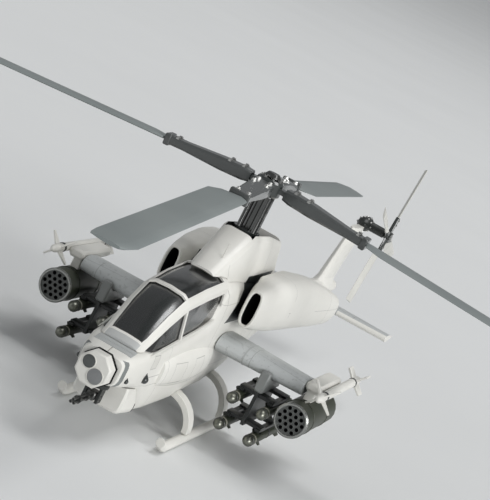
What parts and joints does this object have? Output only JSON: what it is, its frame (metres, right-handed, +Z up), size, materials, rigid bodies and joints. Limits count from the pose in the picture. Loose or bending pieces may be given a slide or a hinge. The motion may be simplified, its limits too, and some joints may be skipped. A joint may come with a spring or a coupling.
{
  "type": "toy helicopter",
  "caption": "Toy attack helicopter with tandem cockpit, stub wings with stores and skids; main rotor and tail rotor spin, chin gun turns and tilts.",
  "frame": {"origin": "bottom centre of the whole part's box, on the surface the skids stand on", "axes": "+Z up along the rotor mast, -Y towards the nose, +X towards the aircraft's left side"},
  "size_m": [0.3038, 0.367, 0.0895],
  "materials": {
    "white_plastic": "satin paint, warm off-white",
    "grey_plastic": "satin paint, light grey",
    "dark_plastic": "satin, near black",
    "hub_plastic": "gloss, near black",
    "gun_metal": "satin, gun metal",
    "smoked_glass": "polished, smoked",
    "olive_plastic": "satin paint, olive grey",
    "blade_plastic": "satin, mid grey",
    "steel": "turned"
  },
  "bodies": {
    "airframe": {"fuselage_left": "white_plastic", "fuselage_right": "white_plastic", "canopy_frame": "white_plastic", "sensor_turret": "white_plastic", "chin_fairing": "white_plastic", "nacelle_left": "white_plastic", "nacelle_right": "white_plastic", "rotor_fairing": "white_plastic", "tail_fin": "white_plastic", "tip_launcher_left": "white_plastic", "tip_launcher_right": "white_plastic", "tip_missile_left": "white_plastic", "tip_missile_right": "white_plastic", "left_skid": "white_plastic", "right_skid": "white_plastic", "front_cross_tube": "white_plastic", "rear_cross_tube": "white_plastic", "wing_left": "grey_plastic", "wing_right": "grey_plastic", "stabiliser_left": "grey_plastic", "stabiliser_right": "grey_plastic", "cockpit_tub": "dark_plastic", "front_seat": "dark_plastic", "rear_seat": "dark_plastic", "exhaust_left": "dark_plastic", "exhaust_right": "dark_plastic", "tail_gearbox": "dark_plastic", "missile_rack_left": "dark_plastic", "missile_rack_right": "dark_plastic", "canopy_glass": "smoked_glass", "upper_lens": "smoked_glass", "lower_lens": "smoked_glass", "rocket_pod_left": "olive_plastic", "rocket_pod_right": "olive_plastic", "missile_left_1": "olive_plastic", "missile_left_2": "olive_plastic", "missile_left_3": "olive_plastic", "missile_left_4": "olive_plastic", "missile_right_1": "olive_plastic", "missile_right_2": "olive_plastic", "missile_right_3": "olive_plastic", "missile_right_4": "olive_plastic", "mast_bush": "steel"},
    "main_rotor": {"rotor_mast": "steel", "mast_collar": "steel", "swashplate": "hub_plastic", "rotor_hub": "hub_plastic", "hub_cap": "steel", "blade_cuff_1": "hub_plastic", "blade_cuff_2": "hub_plastic", "blade_cuff_3": "hub_plastic", "blade_cuff_4": "hub_plastic", "rotor_blade_1": "blade_plastic", "rotor_blade_2": "blade_plastic", "rotor_blade_3": "blade_plastic", "rotor_blade_4": "blade_plastic"},
    "tail_rotor": {"tail_rotor": "blade_plastic"},
    "gun_turret": {"gun_turret": "dark_plastic"},
    "gun_barrels": {"gun_barrels": "gun_metal"}
  },
  "joints": [
    {"name": "main_rotor_spin", "type": "hinge", "parent": "airframe", "child": "main_rotor", "pos_m": [0, -0.03154, 0.08185], "axis": [0, 0, 1], "continuous": true},
    {"name": "tail_rotor_spin", "type": "hinge", "parent": "airframe", "child": "tail_rotor", "pos_m": [0.0105, 0.15296, 0.05894], "axis": [1, 0, 0], "continuous": true},
    {"name": "gun_traverse", "type": "hinge", "parent": "airframe", "child": "gun_turret", "pos_m": [0, -0.11204, 0.01895], "axis": [0, 0, 1], "range_deg": [-60, 60]},
    {"name": "gun_elevation", "type": "hinge", "parent": "gun_turret", "child": "gun_barrels", "pos_m": [0, -0.11204, 0.01515], "axis": [-1, 0, 0], "range_deg": [-20, 10]}
  ]
}
